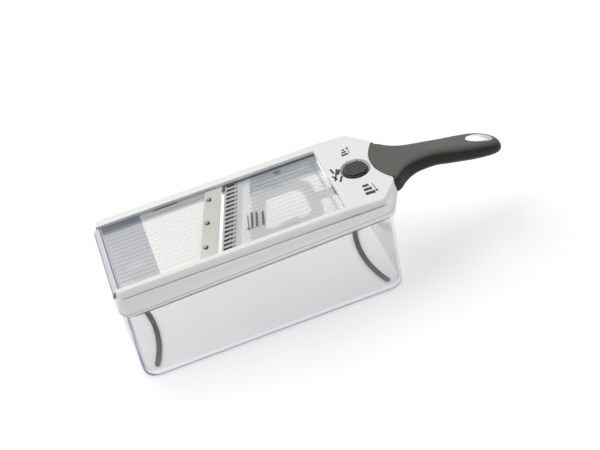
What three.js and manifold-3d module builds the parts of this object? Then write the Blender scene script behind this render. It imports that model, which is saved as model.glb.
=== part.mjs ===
// Mandoline slicer standing on its clear catch container. Millimetres, +Z up, +X towards the handle.
import * as THREE from 'three';
import { mergeVertices } from 'three/addons/utils/BufferGeometryUtils.js';
import Module from 'manifold-3d';

const wasm = await Module();
wasm.setup();

const fit = 0.3;                 // air between pieces that meet
const through = 1;               // how far a cutting shape runs past the face that it cuts

// Driving dimensions across the slicer
const deckWidth = 90.3;          // food channel between the rails
const railWidth = 7.3;
const skirtFlare = 10.3;         // how far the skirt swells out below a rail
const lipWidth = 4.4;            // flat lip that rests on the container
const frameWall = 2.2;
const neckWidth = 62;            // frame's end face where the grip meets it
const neckLength = 16.5;         // end face to the shoulders of the frame

// Driving dimensions along the slicer
const endMargin = 6.7;           // end of the lip to the inner line of the deck
const railSetback = 3.7;         // end of the lip to the upper edge of the frame's end
const landingLength = 94.8;      // inner line of the deck to the blade's middle
const runwayLength = 110.3;      // blade's middle to the control plate
const plateLength = 50;          // control plate up to the grip
const gripLength = 112.6;

// Driving heights above the table
const containerHeight = 79.6;    // top of the rim flange at the end away from the handle
const lipRise = 0.0289;          // rise of the rim for each unit of length towards the handle
const valleyRise = 14.2;         // rim flange to the foot of the rails' outer sides
const channelRise = 4.9;         // valley to the inner top edge of the rails
const railRise = 7.4;            // valley to the crown of the rails
const plateRise = 5.8;           // valley to the top of the control plate
const deckRise = 2.8;            // valley to the top of the landing deck
const runwayRise = 0.8;          // valley to the top of the runway at rest

// Container
const handleEndGap = 10.4;       // container's end wall to the grip
const containerWall = 2.2;
const containerFloor = 2.6;
const leftLap = 1.2;             // lip's end to the container's end wall
const sideLean = 0.4;            // lean of the long walls from rim to base
const handleEndLean = 2.2;       // lean of the wall at the handle end
const containerCorner = 16;
const flangeThickness = 1.9;
const upstandHeight = 2.6;       // rim above the flange, inside the skirt
const upstandInset = 1;          // step in from the wall to the upstand
const footWidth = 4.6;
const footRadius = 116;
const footReach = 44;            // half the span of a foot strip across the base
const footInset = 22.3;           // base's end to the crown of a foot strip
const footThickness = 1.4;

// Blade and combs, all at one slant
const slant = 0.311;             // shift along X for each unit across the channel
const bladeWidth = 17.6;         // along X
const bladeThickness = 0.7;
const bladeLap = 8.4;            // part of the blade that lies on the deck
const bladeEndGap = 2.5;         // blade's ends to the channel's sides
const rivetPitch = 30.5;
const rivetRadius = 1.5;
const rivetHeadRadius = 2.5;
const combGap = 3.4;             // blade's cutting edge to the slots
const slotLength = 7.4;
const slotWidth = 1.7;
const slotPitch = 5.4;
const combTeeth = 15;
const toothThickness = 0.7;
const toothInset = 0.5;          // tooth to each end of its slot
const toothSink = 0.6;           // tooth tips below the runway's top at rest
const combStrip = 0.7;
const combTravel = 3.2;          // upwards from rest
const carrierThickness = 1.4;
const carrierWidth = 22.4;
const ladderWidth = 7.4;         // raised band along the carrier, crossed by grooves
const ladderPitch = 4.8;

// Plates and ribs
const deckThickness = 1.9;
const runwayThickness = 1.8;
const ribHeight = 0.35;
const ribWidth = 0.9;
const ribPitch = 5.4;
const channelWallDrop = 7.2;     // valley down to the lower edge of the channel's side walls
const ledgeDepth = 3.2;
const ledgeThickness = 2.2;

// Thickness adjuster
const yokeDrop = 10.6;           // valley down to the underside of the yoke
const yokeThickness = 2.4;
const yokeLength = 67;           // slanted band to the crown of the ring
const yokeWidth = 62;
const yokeBand = 10;
const yokeSlantBand = 15;
const stemWidth = 9.4;
const prongWidth = 2.6;          // fork that straddles the shaft, its near prong toothed
const pinionRadius = 2.6;        // pitch circle
const pinionTeeth = 8;
const knobSwing = 90;            // degrees each way
const runwaySwing = 0.7;         // degrees each way
const toothDepth = 0.65;         // above and below the pitch line
const forkOverrun = 1.7;         // prongs past the shaft when the yoke is drawn back
const backlash = 0.3;
const rampHeight = 5.2;          // at the middle of each ramp, above the yoke
const rampReach = 8;             // half a ramp's length
const hingePinRadius = 1.3;
const hingeBarrelRadius = 2.7;
const hingeBlockDepth = 2.4;     // block that holds the pin, into the channel

// Knob and its housing
const knobRadius = 11.5;
const knobStand = 1.2;           // knob's ribs above the control plate
const knobGap = 1.9;             // knob to the wall of its recess
const recessDepth = 4.2;         // floor of the knob's recess below the control plate
const shaftRadius = 2.6;
const spindleRadius = 1.6;       // shaft below its pinion
const collarRadius = 7;
const notchRadius = 1.3;
const knobScrewRadius = 1.2;
const coverWidth = 46;
const coverDrop = 2.6;           // yoke's underside to the underside of the cover
const coverWall = 1.8;
const coverDepth = 12;
const bossRadius = 3.4;
const screwRadius = 1.4;
const screwHeadRadius = 2.6;
const screwHeadHeight = 1.8;
const leafThickness = 0.5;       // detent spring

// Grip
const gripWall = 2.6;
const tongueLength = 9.9;        // rounded lap of the grip on the control plate
const tongueWidth = 57;
const handleScrewSpan = 30;
const inlayLength = 25.6;
const inlayWidth = 12;
const inlayThickness = 2.6;

// Places worked out from the driving dimensions
const channelHalf = deckWidth / 2;
const valleyHeight = containerHeight + valleyRise;
const channelHeight = valleyHeight + channelRise;
const railHeight = valleyHeight + railRise;
const plateHeight = valleyHeight + plateRise;
const deckHeight = valleyHeight + deckRise;
const runwayHeight = valleyHeight + runwayRise;
const channelWallFoot = valleyHeight - channelWallDrop;
const yokeHeight = valleyHeight - yokeDrop;
const knobHeight = plateHeight + knobStand;
const recessRadius = knobRadius + knobGap;
const recessHeight = plateHeight - recessDepth;
const coverFloor = yokeHeight - coverDrop;
const coverRim = coverFloor + coverDepth;
const railOuter = channelHalf + railWidth;
const frameHalf = railOuter + skirtFlare;
const bladeX = endMargin + landingLength;
const plateX = bladeX + runwayLength;
const gripX = plateX + plateLength;
const tipX = gripX + gripLength;
const containerHalf = frameHalf - lipWidth;
const containerLeft = leftLap;
const containerRight = gripX - handleEndGap;
const originX = tipX / 2;
const bladeLeft = bladeX - bladeWidth / 2;
const bladeRight = bladeX + bladeWidth / 2;
const combX = bladeRight + combGap;
const yokeX = combX + 20.3;
const yokeTop = yokeHeight + yokeThickness;
const combBase = runwayHeight - runwayThickness - combTravel - 2.1;
const hingeX = plateX - 5;
const rampX = yokeX + yokeLength * 0.46;
const rampY = yokeWidth / 2 - yokeBand / 2;
const hingeZ = runwayHeight - runwayThickness - hingeBarrelRadius + 0.6;
const plateThickness = 2.4;
const plateUnderside = plateHeight - plateThickness;
const coverLeft = plateX + 2.6;
const coverRight = containerRight - containerWall - 2 * fit;
const yokeTravel = pinionRadius * THREE.MathUtils.degToRad(knobSwing);
const knobX = coverRight - coverWall - fit - forkOverrun - 2 * yokeTravel;

const rimZ = (x) => containerHeight + fit + lipRise * x;

// ---------- shape helpers ----------

function toSolid(geometry) {
  geometry.deleteAttribute('normal');
  geometry.deleteAttribute('uv');
  const merged = mergeVertices(geometry, 1e-4);
  const corners = Array.from(merged.index.array);
  const kept = [];
  for (let i = 0; i < corners.length; i += 3) {
    const [a, b, c] = corners.slice(i, i + 3);
    if (a !== b && b !== c && c !== a) {
      kept.push(a, b, c);
    }
  }
  return new wasm.Manifold(new wasm.Mesh({
    numProp: 3,
    vertProperties: new Float32Array(merged.attributes.position.array),
    triVerts: new Uint32Array(kept),
  }));
}

function toGeometry(solid) {
  const mesh = solid.getMesh();
  const geometry = new THREE.BufferGeometry();
  geometry.setAttribute('position', new THREE.BufferAttribute(new Float32Array(mesh.vertProperties), 3));
  geometry.setIndex(new THREE.BufferAttribute(new Uint32Array(mesh.triVerts), 1));
  geometry.computeVertexNormals();
  return geometry;
}

const join = (solids) => solids.reduce((sum, next) => sum.add(next));
const cut = (solid, tools) => tools.reduce((rest, tool) => rest.subtract(tool), solid);

function block(x0, x1, y0, y1, z0, z1) {
  const geometry = new THREE.BoxGeometry(x1 - x0, y1 - y0, z1 - z0);
  geometry.translate((x0 + x1) / 2, (y0 + y1) / 2, (z0 + z1) / 2);
  return toSolid(geometry);
}

function prism(points, z0, z1) {
  const shape = new THREE.Shape(points.map(([x, y]) => new THREE.Vector2(x, y)));
  const geometry = new THREE.ExtrudeGeometry(shape, { depth: z1 - z0, bevelEnabled: false });
  geometry.translate(0, 0, z0);
  return toSolid(geometry);
}

// A prism whose outline stands in the XZ plane and runs across the slicer.
function crossPrism(points, y0, y1) {
  const shape = new THREE.Shape(points.map(([x, z]) => new THREE.Vector2(x, z)));
  const geometry = new THREE.ExtrudeGeometry(shape, { depth: y1 - y0, bevelEnabled: false });
  geometry.rotateX(Math.PI / 2);
  geometry.translate(0, y1, 0);
  return toSolid(geometry);
}

// A turned part from [radius, height] points, its axis along Z.
function turned(profile, x, y, sides = 24) {
  const geometry = new THREE.LatheGeometry(profile.map(([r, z]) => new THREE.Vector2(r, z)), sides);
  geometry.rotateX(Math.PI / 2);
  geometry.translate(x, y, 0);
  return toSolid(geometry);
}

function disc(radius, x, y, z0, z1, sides = 24) {
  return turned([[0, z0], [radius, z0], [radius, z1], [0, z1]], x, y, sides);
}

// A round bar between two points.
function bar(from, to, radius, sides = 16) {
  const start = new THREE.Vector3(...from);
  const reach = new THREE.Vector3(...to).sub(start);
  const geometry = new THREE.CylinderGeometry(radius, radius, reach.length(), sides);
  const along = reach.clone().normalize();
  const turn = new THREE.Quaternion().setFromUnitVectors(new THREE.Vector3(0, 1, 0), along);
  geometry.applyQuaternion(turn);
  geometry.translate(...start.addScaledVector(reach, 0.5).toArray());
  return toSolid(geometry);
}

// A bar with straight ends along X whose long sides follow the blade's slant; x0 and x1 hold at Y = 0.
function slantedBar(x0, x1, y0, y1, z0, z1) {
  return prism([
    [x0 + slant * y0, y0],
    [x1 + slant * y0, y0],
    [x1 + slant * y1, y1],
    [x0 + slant * y1, y1],
  ], z0, z1);
}

// An outline with its corners rounded, as a ring of equal point count for every use.
function roundedOutline(corners, radii, steps = 5) {
  return corners.flatMap(([x, y], index) => {
    const corner = new THREE.Vector2(x, y);
    const before = new THREE.Vector2(...corners[(index + corners.length - 1) % corners.length]);
    const after = new THREE.Vector2(...corners[(index + 1) % corners.length]);
    const toBefore = before.sub(corner).normalize();
    const toAfter = after.sub(corner).normalize();
    const reach = radii[index] / Math.tan(Math.acos(toBefore.dot(toAfter)) / 2);
    const curve = new THREE.QuadraticBezierCurve(
      corner.clone().addScaledVector(toBefore, reach),
      corner,
      corner.clone().addScaledVector(toAfter, reach),
    );
    return curve.getPoints(steps);
  });
}

// A closed body through rings of equal point count, with a flat fan over each end.
function loft(rings) {
  const count = rings[0].length;
  const index = [];
  for (let ring = 0; ring + 1 < rings.length; ring += 1) {
    for (let i = 0; i < count; i += 1) {
      const a = ring * count + i;
      const b = ring * count + ((i + 1) % count);
      index.push(a, b, b + count, a, b + count, a + count);
    }
  }
  const last = (rings.length - 1) * count;
  for (let i = 1; i + 1 < count; i += 1) {
    index.push(0, i + 1, i, last, last + i, last + i + 1);
  }
  const geometry = new THREE.BufferGeometry();
  const positions = new Float32Array(rings.flat(2));
  geometry.setAttribute('position', new THREE.BufferAttribute(positions, 3));
  geometry.setIndex(index);
  return toSolid(geometry);
}

// ---------- the container ----------

function containerRing(inset, height, corner) {
  const depth = 1 - Math.min(1, height(0) / containerHeight);
  const left = containerLeft + Math.max(inset, -leftLap);
  const right = containerRight - depth * handleEndLean - inset;
  const half = containerHalf - depth * sideLean - inset;
  const corners = [[left, -half], [right, -half], [right, half], [left, half]];
  return roundedOutline(corners, [corner, corner, corner, corner], 6).map(([x, y]) => [x, y, height(x)]);
}

function footStrip(end, grow, z0, z1) {
  const middle = end < 0 ? containerLeft + footInset : containerRight - handleEndLean - footInset;
  const centre = middle + end * footRadius;
  const shape = new THREE.Shape();
  const spread = Math.asin(footReach / footRadius);
  const outer = footRadius + footWidth / 2 + grow;
  const inner = footRadius - footWidth / 2 - grow;
  const facing = end < 0 ? 0 : Math.PI;
  const tip = (angle) => [centre + footRadius * Math.cos(angle), footRadius * Math.sin(angle)];
  shape.absarc(centre, 0, outer, facing - spread, facing + spread, false);
  shape.absarc(...tip(facing + spread), footWidth / 2 + grow, facing + spread, facing + spread + Math.PI, false);
  shape.absarc(centre, 0, inner, facing + spread, facing - spread, true);
  shape.absarc(...tip(facing - spread), footWidth / 2 + grow, facing - spread + Math.PI, facing - spread, false);
  const geometry = new THREE.ExtrudeGeometry(shape, { depth: z1 - z0, bevelEnabled: false, curveSegments: 8 });
  geometry.translate(0, 0, z0);
  return toSolid(geometry);
}

function makeContainer() {
  const flat = (z) => () => z;
  const rim = (rise) => (x) => rimZ(x) - fit + rise;
  const outer = loft([
    containerRing(1.6, flat(0), containerCorner - 1.6),
    containerRing(0.5, flat(0.6), containerCorner - 0.5),
    containerRing(0, flat(1.9), containerCorner),
    containerRing(0, rim(0), containerCorner),
    containerRing(upstandInset, rim(0), containerCorner - upstandInset),
    containerRing(upstandInset, rim(upstandHeight), containerCorner - upstandInset),
  ]);
  const flangeRing = (rise) => containerRing(-(lipWidth - 1), rim(rise), containerCorner + lipWidth - 1);
  const flange = loft([flangeRing(-flangeThickness), flangeRing(0)]);
  const inner = loft([
    containerRing(containerWall + 2, flat(containerFloor), containerCorner - containerWall - 2),
    containerRing(containerWall, flat(containerFloor + 2), containerCorner - containerWall),
    containerRing(containerWall, rim(upstandHeight + through), containerCorner - containerWall),
  ]);
  const pockets = [-1, 1].map((end) => footStrip(end, fit, -through, footThickness + fit));
  return cut(outer.add(flange), [inner, ...pockets]);
}

// ---------- the frame ----------

// Outline of the frame, grown or shrunk, with its handle end chamfered to the grip's width.
function frameOutline(grow, left, right, corner) {
  const half = railOuter + grow;
  const neckHalf = neckWidth / 2 + grow * 0.5;
  const shoulder = gripX - neckLength + grow * 0.3;
  return roundedOutline(
    [[left, -half], [shoulder, -half], [right, -neckHalf], [right, neckHalf], [shoulder, half], [left, half]],
    [corner, 9, 1, 1, 9, corner],
    4,
  );
}

const frameLeft = (grow) => railSetback * (1 - grow / skirtFlare);

function frameRing(grow, height, corner) {
  return frameOutline(grow, frameLeft(grow), gripX - fit, corner).map(([x, y]) => [x, y, height(x)]);
}

function makeSkirt() {
  const above = (share) => (x) => rimZ(x) + share * (valleyHeight - rimZ(x));
  const outer = loft([
    frameRing(skirtFlare - 0.4, above(0), 14),
    frameRing(skirtFlare, above(0.06), 14),
    frameRing(skirtFlare, above(0.14), 14),
    frameRing(skirtFlare - 2.2, above(0.3), 12),
    frameRing(skirtFlare - 4.6, above(0.62), 10),
    frameRing(2.4, above(0.9), 8),
    frameRing(0, above(1), 6),
    frameRing(0, () => plateHeight - 0.8, 6),
    frameRing(-0.8, () => plateHeight, 6),
  ]);
  return outer;
}

function makeRail(side) {
  const half = railOuter;
  const end = gripX - 18;
  const profile = (x, drop) => [
    [x, side * channelHalf, valleyHeight],
    [x, side * half, valleyHeight],
    [x, side * half, railHeight - 1 - drop],
    [x, side * (half - 1), railHeight - drop],
    [x, side * (half - 3), railHeight - drop],
    [x, side * channelHalf, channelHeight],
  ];
  const rings = [profile(endMargin - 1, 1), profile(endMargin + 1, 0), profile(plateX + 8, 0), profile(end, 1.6)];
  return loft(side > 0 ? rings : rings.map((ring) => ring.slice().reverse()));
}

function innerHollow() {
  const inset = frameWall;
  const lipGrow = containerHalf - upstandInset - railOuter + fit + 0.4;
  const lipInner = containerLeft + upstandInset - fit - 0.4;
  const endWall = 1.7;
  const above = (share) => (x) => rimZ(x) + share * (valleyHeight - rimZ(x));
  const ring = (grow, left, height, corner) => (
    frameOutline(grow, left, gripX - frameWall - fit, corner).map(([x, y]) => [x, y, height(x)])
  );
  return loft([
    ring(lipGrow, lipInner, (x) => rimZ(x) - through, 12),
    ring(lipGrow, lipInner, above(0.3), 12),
    ring(skirtFlare - 4.6 - inset, frameLeft(skirtFlare - 4.6) + endWall, above(0.62), 9),
    ring(0.6, frameLeft(2.4) + endWall, above(0.9), 7),
    ring(-inset, railSetback + inset, () => plateUnderside, 5),
  ]);
}

function makeFrame() {
  const rails = [-1, 1].map(makeRail);
  const body = join([makeSkirt(), ...rails]);
  const channel = block(endMargin, plateX, -channelHalf, channelHalf, runwayHeight - 14, railHeight + through);
  const hook = block(-4, endMargin + fit, -channelHalf, channelHalf, deckHeight - 7.6, railHeight + through);
  const recess = turned([
    [0, recessHeight],
    [recessRadius - 2, recessHeight],
    [recessRadius - 0.6, recessHeight + 1],
    [recessRadius + 0.5, plateHeight + 0.1],
    [recessRadius + 0.5, plateHeight + through],
    [0, plateHeight + through],
  ], knobX, 0, 32);
  const hollow = innerHollow();
  const cup = disc(recessRadius + 2.4, knobX, 0, recessHeight - 2, plateHeight - 0.6, 32);
  const shell = cut(body, [hollow, hook, channel]);
  const channelWalls = [-1, 1].map((side) => {
    const [y0, y1] = [side * channelHalf, side * (channelHalf + frameWall)].sort((a, b) => a - b);
    return block(endMargin, plateX + 1, y0, y1, channelWallFoot, channelHeight - 0.4);
  });
  const ledges = [-1, 1].flatMap((side) => {
    const outer = side * (channelHalf + frameWall);
    const inner = side * (channelHalf - ledgeDepth);
    const [y0, y1] = [Math.min(outer, inner), Math.max(outer, inner)];
    const top = deckHeight - deckThickness - fit;
    const deckEnd = bladeLeft + bladeLap + side * slant * channelHalf;
    const floor = top - ledgeThickness;
    const [near, far] = [outer, side * (channelHalf - hingeBlockDepth)].sort((a, b) => a - b);
    const hingeTop = runwayHeight - runwayThickness - fit;
    const hingeBlock = block(hingeX - 4, plateX + 1, near, far, hingeZ - 3.4, hingeTop);
    return [block(endMargin - 1, deckEnd - 1, y0, y1, floor, top), hingeBlock];
  });
  const bosses = bossPlaces().map(([x, y]) => (
    disc(bossRadius, x, y, coverRim + fit, plateUnderside + 0.6, 16)
  ));
  const holes = bossPlaces().map(([x, y]) => (
    disc(screwRadius + fit, x, y, coverRim - through, plateHeight - 1.6, 16)
  ));
  const bore = disc(shaftRadius + fit, knobX, 0, recessHeight - 4, recessHeight + through, 24);
  const pinReach = channelHalf + 1.6;
  const pinBore = bar([hingeX, -pinReach, hingeZ], [hingeX, pinReach, hingeZ], hingePinRadius + fit);
  const screwBores = handleScrewPlaces().map((y) => (
    bar([gripX - 6, y, gripAxis(gripX)], [gripX + 4, y, gripAxis(gripX)], screwRadius + fit)
  ));
  const full = join([shell, cup, ...channelWalls, ...ledges, ...bosses]);
  const tongue = gripTongue(fit, plateHeight - 1.6 - fit, plateHeight + 3);
  return cut(full, [recess, bore, ...holes, pinBore, ...screwBores, tongue]);
}

// ---------- deck, blade and combs ----------

function ribs(x0, x1, z, trim) {
  const count = Math.floor((channelHalf - 4) / ribPitch);
  const places = Array.from({ length: 2 * count }, (_, i) => (i - count + 0.5) * ribPitch);
  return places.map((y) => {
    const from = x0 + (trim === 'left' ? slant * y : 0);
    const to = x1 + (trim === 'right' ? slant * y : 0);
    return block(from, to, y - ribWidth / 2, y + ribWidth / 2, z - 0.5, z + ribHeight);
  });
}

function makeDeck() {
  const half = channelHalf - fit;
  const under = deckHeight - deckThickness;
  const right = bladeLeft + bladeLap;
  const curl = new THREE.QuadraticBezierCurve(
    new THREE.Vector2(endMargin + 1, deckHeight + 1.2),
    new THREE.Vector2(0.6, deckHeight + 1),
    new THREE.Vector2(0.1, deckHeight - 6.2),
  ).getPoints(6).map(({ x, y }) => [x, y]);
  const end = right + slant * half + through;
  const profile = [
    [end, deckHeight],
    [endMargin + 2.4, deckHeight],
    ...curl,
    [2.2, deckHeight - 6.2],
    [2.5, under - 1.4],
    [3.2, under],
    [end, under],
  ];
  const sheet = crossPrism(profile, -half, half);
  const beyond = slantedBar(right, right + deckWidth, -channelHalf - 1, channelHalf + 1, under - 2, deckHeight + 3);
  const bolts = rivetPlaces().map(([x, y]) => (
    disc(rivetRadius + fit, x, y, under - through, deckHeight + through, 16)
  ));
  const seat = slantedBar(bladeLeft - fit, right + 2, -channelHalf, channelHalf, deckHeight, deckHeight + 2);
  const raised = ribs(endMargin + 3, bladeLeft - 1, deckHeight, 'right');
  return cut(join([sheet, ...raised]), [beyond, seat, ...bolts]);
}

function rivetPlaces() {
  return [-1, 0, 1].map((i) => [bladeLeft + 4.7 + slant * i * rivetPitch, i * rivetPitch]);
}

function makeBlade() {
  const half = channelHalf - bladeEndGap;
  const z0 = deckHeight + fit;
  const z1 = z0 + bladeThickness;
  const grind = (y) => [
    [bladeLeft + slant * y, y, z0],
    [bladeRight - 3 + slant * y, y, z0],
    [bladeRight + slant * y, y, z1 - 0.1],
    [bladeRight + slant * y, y, z1],
    [bladeLeft + slant * y, y, z1],
  ];
  const body = loft([grind(half), grind(-half)]);
  const notch = slantedBar(bladeRight - 1, bladeRight + 2, half - 9, half + 2, z0 - 1, z1 + 1);
  const bolts = rivetPlaces().map(([x, y]) => disc(rivetRadius + fit, x, y, z0 - through, z1 + through, 16));
  return cut(body, [notch, ...bolts]);
}

function makeRivet([x, y]) {
  const top = deckHeight + fit + bladeThickness + fit;
  const under = deckHeight - deckThickness - fit;
  return turned([
    [0, under - 0.8],
    [rivetHeadRadius, under - 0.8],
    [rivetHeadRadius, under],
    [rivetRadius, under],
    [rivetRadius, top],
    [rivetHeadRadius, top],
    [rivetHeadRadius - 0.7, top + 0.5],
    [0, top + 0.6],
  ], x, y, 16);
}

function toothPlaces() {
  return Array.from({ length: combTeeth }, (_, i) => (i - (combTeeth - 1) / 2) * slotPitch);
}

function slotCutters() {
  return toothPlaces().map((y) => {
    const from = combX + slant * y;
    const half = slotWidth / 2;
    return block(from, from + slotLength, y - half, y + half, runwayHeight - 6, runwayHeight + 4);
  });
}

// A steel strip with one upright cutting tooth under each slot.
function makeComb() {
  const tip = runwayHeight - toothSink;
  const half = toothPlaces().at(-1) + 2;
  const foot = slantedBar(combX + 0.9, combX + slotLength - 0.9, -half, half, combBase, combBase + combStrip);
  const teeth = toothPlaces().map((y) => {
    const left = combX + slant * y + toothInset;
    const right = left + slotLength - 2 * toothInset;
    const outline = [
      [left + 0.6, combBase + 0.2],
      [right - 0.6, combBase + 0.2],
      [right, tip - 1.6],
      [right - 1.4, tip],
      [left, tip - 0.5],
    ];
    return crossPrism(outline, y - toothThickness / 2, y + toothThickness / 2);
  });
  return join([foot, ...teeth]);
}

function makeCombCarrier() {
  const top = combBase - fit;
  const half = channelHalf - 0.6;
  const right = combX + carrierWidth;
  const bed = slantedBar(combX - 0.4, right, -half, half, top - carrierThickness, top);
  const ladder = slantedBar(right - ladderWidth, right, -half, half, top - 0.2, top + 0.7);
  const count = Math.floor((2 * half) / ladderPitch);
  const grooves = Array.from({ length: count }, (_, i) => {
    const y = (i - (count - 1) / 2) * ladderPitch;
    return slantedBar(right - ladderWidth - 1, right + 1, y - 0.4, y + 0.4, top + 0.2, top + 2);
  });
  return bed.add(cut(ladder, grooves));
}

function makeRunway() {
  const half = channelHalf - fit;
  const under = runwayHeight - runwayThickness;
  const left = bladeRight + 1.1;
  const sheet = prism([
    [left - slant * half, -half],
    [plateX - 1, -half],
    [plateX - 1, half],
    [left + slant * half, half],
  ], under, runwayHeight);
  const raised = ribs(combX + carrierWidth - ladderWidth, plateX - 6, runwayHeight, 'left');
  const barrels = [-1, 1].map((side) => {
    const from = side * (channelHalf - 10);
    const to = side * (channelHalf - 3);
    const barrel = bar([hingeX, from, hingeZ], [hingeX, to, hingeZ], hingeBarrelRadius, 20);
    const [near, far] = [from, to].sort((a, b) => a - b);
    return barrel.add(block(hingeX - 2.2, hingeX + 2.2, near, far, hingeZ, under + 0.3));
  });
  const bore = bar([hingeX, -half, hingeZ], [hingeX, half, hingeZ], hingePinRadius + fit, 20);
  const slots = slotCutters();
  const nose = slantedBar(left - 1, left + 2, -channelHalf, channelHalf, under - 1, under + 0.9);
  const skids = [-1, 1].map((side) => {
    const y = side * rampY;
    return block(rampX - 0.8, rampX + 0.8, y - 1.5, y + 1.5, yokeTop + rampHeight + fit, under + 0.3);
  });
  return cut(join([sheet, ...raised, ...barrels, ...skids]), [bore, nose, ...slots]);
}

function makeHingePin() {
  return bar([hingeX, -channelHalf - 1.2, hingeZ], [hingeX, channelHalf + 1.2, hingeZ], hingePinRadius);
}

// ---------- thickness adjuster ----------

// A pinion of straight-flanked teeth, narrow enough to roll along the rack with the stated backlash.
function makePinion(z0, z1) {
  const pitch = (Math.PI * 2) / pinionTeeth;
  const half = (Math.PI * pinionRadius) / pinionTeeth / 2 - backlash / 2;
  const points = [];
  for (let tooth = 0; tooth < pinionTeeth; tooth += 1) {
    const middle = tooth * pitch - Math.PI / 2;
    const sides = [
      [-1, pinionRadius - toothDepth - 0.25, half * 1.45],
      [-1, pinionRadius, half],
      [-1, pinionRadius + toothDepth, half * 0.42],
      [1, pinionRadius + toothDepth, half * 0.42],
      [1, pinionRadius, half],
      [1, pinionRadius - toothDepth - 0.25, half * 1.45],
    ];
    sides.forEach(([side, radius, width]) => {
      const angle = middle + (side * width) / radius;
      points.push([knobX + radius * Math.cos(angle), radius * Math.sin(angle)]);
    });
  }
  return prism(points, z0, z1);
}

function makeKnobShaft() {
  const top = knobHeight - 3.4;
  const post = turned([
    [0, coverFloor + coverWall + fit],
    [spindleRadius, coverFloor + coverWall + fit],
    [spindleRadius, yokeTop + 1.6],
    [collarRadius, yokeTop + 1.6],
    [collarRadius, yokeTop + 4.4],
    [shaftRadius, yokeTop + 4.4],
    [shaftRadius, top],
    [0, top],
  ], knobX, 0, 24);
  const notches = [0, 1, 2].map((i) => {
    const angle = Math.PI / 2 + (i - 1) * THREE.MathUtils.degToRad(knobSwing);
    const [x, y] = [knobX + collarRadius * Math.cos(angle), collarRadius * Math.sin(angle)];
    return disc(notchRadius, x, y, yokeTop + 1, yokeTop + 5, 12);
  });
  const screwHole = disc(knobScrewRadius + fit, knobX, 0, top - 7, top + through, 16);
  return cut(join([post, makePinion(yokeHeight - 0.3, yokeTop + 1.8)]), [...notches, screwHole]);
}

function makeKnob() {
  const base = recessHeight + 0.5;
  const body = turned([
    [0, base],
    [knobRadius - 0.6, base],
    [knobRadius, base + 0.8],
    [knobRadius, knobHeight - 2.2],
    [knobRadius - 0.9, knobHeight - 1.4],
    [0, knobHeight - 1.4],
  ], knobX, 0, 40);
  const grips = Array.from({ length: 8 }, (_, i) => {
    const y = (i - 3.5) * 2.35;
    const reach = Math.sqrt((knobRadius - 1.4) ** 2 - y ** 2);
    return block(knobX - Math.min(reach, 8), knobX + reach, y - 0.75, y + 0.75, knobHeight - 1.8, knobHeight);
  });
  const socket = disc(shaftRadius + fit, knobX, 0, base - through, knobHeight - 3.4 + fit, 24);
  const screwHole = disc(knobScrewRadius + fit, knobX, 0, base, knobHeight + through, 16);
  const headRoom = disc(2.1 + fit, knobX, 0, knobHeight - 2.4, knobHeight + through, 16);
  return cut(join([body, ...grips]), [socket, screwHole, headRoom]);
}

function makeKnobScrew() {
  const top = knobHeight - 0.6;
  return turned([
    [0, knobHeight - 9],
    [knobScrewRadius, knobHeight - 9],
    [knobScrewRadius, top - 1.4],
    [2.1, top - 1.4],
    [2.1, top - 0.2],
    [1.9, top],
    [0, top],
  ], knobX, 0, 16);
}

function yokeOutline(inset) {
  const half = yokeWidth / 2 - inset;
  const left = yokeX + (inset > 0 ? yokeSlantBand : 0);
  const crown = yokeX + yokeLength - inset;
  const corner = 17 - inset * 0.7;
  return roundedOutline([
    [left - slant * half, -half],
    [crown - 3, -half],
    [crown - 3, half],
    [left + slant * half, half],
  ], [4, corner, corner, 4], 6).map(({ x, y }) => [x, y]);
}

function makeYoke() {
  const ring = cut(prism(yokeOutline(0), yokeHeight, yokeTop), [
    prism(yokeOutline(yokeBand), yokeHeight - 1, yokeTop + 1),
  ]);
  const rackFace = -pinionRadius;
  const root = rackFace - toothDepth - backlash;
  const clear = pinionRadius + toothDepth + backlash;
  const forkLeft = knobX - yokeTravel - clear - 1;
  const forkRight = knobX + yokeTravel + forkOverrun;
  const stem = block(yokeX + yokeLength - 6, forkLeft + 1, -stemWidth / 2, stemWidth / 2, yokeHeight, yokeTop);
  const fork = block(forkLeft - 2.4, forkRight, root - prongWidth, clear + prongWidth, yokeHeight, yokeTop);
  const slot = block(forkLeft, forkRight + 1, root, clear, yokeHeight - 1, yokeTop + 1);
  const pitch = (2 * Math.PI * pinionRadius) / pinionTeeth;
  const half = pitch / 4 - backlash / 2;
  const reach = Math.floor((yokeTravel + 2) / pitch) + 1;
  const teeth = Array.from({ length: 2 * reach }, (_, i) => {
    const x = knobX + (i - reach + 0.5) * pitch;
    return prism([
      [x - half * 1.45, rackFace - toothDepth - 0.4],
      [x + half * 1.45, rackFace - toothDepth - 0.4],
      [x + half, rackFace],
      [x + half * 0.45, rackFace + toothDepth],
      [x - half * 0.45, rackFace + toothDepth],
      [x - half, rackFace],
    ], yokeHeight, yokeTop);
  });
  const lift = THREE.MathUtils.degToRad(runwaySwing) * (hingeX - rampX);
  const rise = (lift / yokeTravel) * rampReach;
  const [rampLeft, rampRight] = [rampX - rampReach, rampX + rampReach];
  const rampOutline = [
    [rampLeft, yokeTop - 0.4],
    [rampRight, yokeTop - 0.4],
    [rampRight, yokeTop + rampHeight + rise],
    [rampLeft, yokeTop + rampHeight - rise],
  ];
  const ramps = [-1, 1].map((side) => crossPrism(rampOutline, side * rampY - 1.5, side * rampY + 1.5));
  return join([cut(join([ring, stem, fork]), [slot]), ...teeth, ...ramps]);
}

function bossPlaces() {
  const inset = bossRadius + 0.6;
  const [x0, x1, y] = [coverLeft + inset, coverRight - inset, coverWidth / 2 - inset];
  return [[x0, -y], [x1, -y], [x1, y], [x0, y]];
}

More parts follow.
